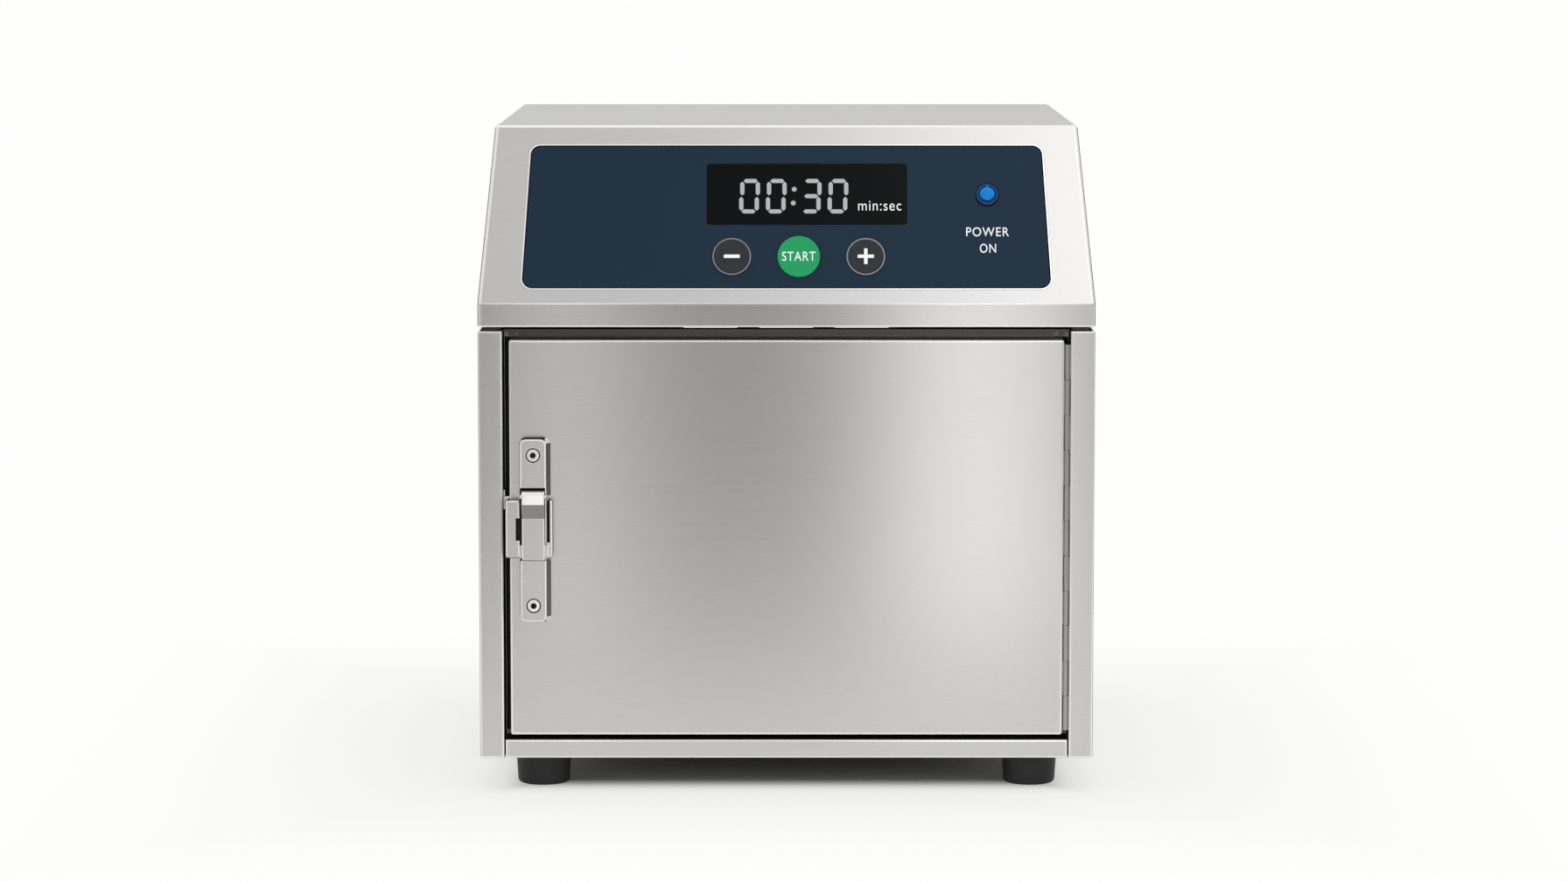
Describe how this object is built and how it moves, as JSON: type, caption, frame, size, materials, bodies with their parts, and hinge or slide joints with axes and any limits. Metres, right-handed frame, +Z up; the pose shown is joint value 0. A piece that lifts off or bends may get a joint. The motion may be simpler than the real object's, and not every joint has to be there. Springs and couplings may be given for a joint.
{
  "type": "paddle blender homogenizer",
  "caption": "Bench paddle blender in a brushed steel case with a latched front door, sloping control face, kneading paddles and a motor drive.",
  "frame": {"origin": "on the surface the machine stands on, below the centre of its bounding box", "axes": "+X to the machine's right as seen from the front, +Y to the back, +Z up; the door faces -Y"},
  "size_m": [0.38, 0.3761, 0.4108],
  "materials": {
    "casing_steel": "brushed",
    "inner_steel": "satin",
    "polished_steel": "polished",
    "navy_face": "satin",
    "display_glass": "gloss",
    "lit_digits": "lit",
    "black_plastic": "matte",
    "charcoal_plastic": "satin",
    "green_plastic": "satin",
    "ring_grey": "satin",
    "blue_lens": "lit",
    "board_green": "satin",
    "black_rubber": "matte",
    "grey_silicone": "matte",
    "cast_aluminium": "cast",
    "bronze": "machined",
    "motor_paint": "semi-gloss",
    "galvanised": "galvanised",
    "magnet_black": "matte"
  },
  "bodies": {
    "casing": {"hood_shell": "casing_steel", "hood_brackets": "galvanised", "left_side_panel": "casing_steel", "right_side_panel": "casing_steel", "base_pan": "casing_steel", "front_header": "inner_steel", "rear_panel": "casing_steel", "panel_screws": "polished_steel", "foot_screws": "polished_steel", "control_panel": "navy_face", "display_window": "display_glass", "display_digits": "lit_digits", "display_module": "black_plastic", "key_rings": "ring_grey", "control_board": "board_green", "power_lamp_bezel": "black_plastic", "power_lamp_lens": "blue_lens", "frame_hinge_leaf": "inner_steel", "hinge_pin": "polished_steel", "latch_keeper": "polished_steel", "chamber_liner": "inner_steel", "rod_bushes": "bronze", "crankcase": "cast_aluminium", "crankcase_cover": "cast_aluminium", "crank_bearings": "polished_steel", "drive_belt": "black_rubber", "motor": "motor_paint", "power_supply": "galvanised", "door_sensor": "black_plastic", "power_inlet": "black_plastic", "inlet_blades": "polished_steel", "foot_front_left": "black_rubber", "foot_front_right": "black_rubber", "foot_rear_left": "black_rubber", "foot_rear_right": "black_rubber"},
    "door": {"door_shell": "casing_steel", "door_inner_plate": "inner_steel", "door_seal": "grey_silicone", "pressure_plate": "inner_steel", "door_hinge_leaf": "inner_steel", "latch_housing": "casing_steel", "latch_pin": "polished_steel", "latch_screws": "polished_steel", "door_magnet": "magnet_black"},
    "latch": {"latch_lever": "casing_steel"},
    "minus_key": {"minus_button": "charcoal_plastic"},
    "start_key": {"start_button": "green_plastic"},
    "plus_key": {"plus_button": "charcoal_plastic"},
    "left_paddle_set": {"left_paddle": "inner_steel", "left_paddle_rods": "polished_steel", "left_crosshead": "cast_aluminium"},
    "right_paddle_set": {"right_paddle": "inner_steel", "right_paddle_rods": "polished_steel", "right_crosshead": "cast_aluminium"},
    "crank": {"crankshaft": "polished_steel", "crank_pulley": "cast_aluminium"},
    "motor_rotor": {"motor_shaft": "polished_steel", "motor_pulley": "cast_aluminium"},
    "switch_rocker": {"power_switch_rocker": "black_plastic"},
    "fuse_carrier": {"fuse_drawer": "black_plastic"}
  },
  "joints": [
    {"name": "door_hinge", "type": "hinge", "parent": "casing", "child": "door", "pos_m": [0.173, -0.17534, 0.1575], "axis": [0, 0, 1], "range_deg": [0, 115]},
    {"name": "latch_lift", "type": "hinge", "parent": "door", "child": "latch", "pos_m": [-0.156, -0.18294, 0.1841], "axis": [-1, 0, 0], "range_deg": [0, 75]},
    {"name": "minus_press", "type": "slide", "parent": "casing", "child": "minus_key", "axis": [0, 0.9347, -0.3555], "range_m": [0, 0.0009], "stiffness_N_per_m": 900},
    {"name": "start_press", "type": "slide", "parent": "casing", "child": "start_key", "axis": [0, 0.9347, -0.3555], "range_m": [0, 0.0009], "stiffness_N_per_m": 900},
    {"name": "plus_press", "type": "slide", "parent": "casing", "child": "plus_key", "axis": [0, 0.9347, -0.3555], "range_m": [0, 0.0009], "stiffness_N_per_m": 900},
    {"name": "left_paddle_stroke", "type": "slide", "parent": "casing", "child": "left_paddle_set", "axis": [0, -1, 0], "range_m": [-0.006, 0.006]},
    {"name": "right_paddle_stroke", "type": "slide", "parent": "casing", "child": "right_paddle_set", "axis": [0, -1, 0], "range_m": [-0.006, 0.006]},
    {"name": "crank_spin", "type": "hinge", "parent": "casing", "child": "crank", "pos_m": [0, -0.05174, 0.1575], "axis": [1, 0, 0], "continuous": true},
    {"name": "motor_spin", "type": "hinge", "parent": "casing", "child": "motor_rotor", "pos_m": [0, 0.07506, 0.0795], "axis": [1, 0, 0], "continuous": true},
    {"name": "power_rock", "type": "hinge", "parent": "casing", "child": "switch_rocker", "pos_m": [-0.12, 0.18086, 0.102], "axis": [-1, 0, 0], "range_deg": [0, 16]},
    {"name": "fuse_pull", "type": "slide", "parent": "casing", "child": "fuse_carrier", "axis": [0, 1, 0], "range_m": [0, 0.02]}
  ],
  "couplings": [
    {"joint": "right_paddle_stroke", "follows": "left_paddle_stroke", "ratio": -1},
    {"joint": "motor_spin", "follows": "crank_spin", "ratio": 2}
  ]
}
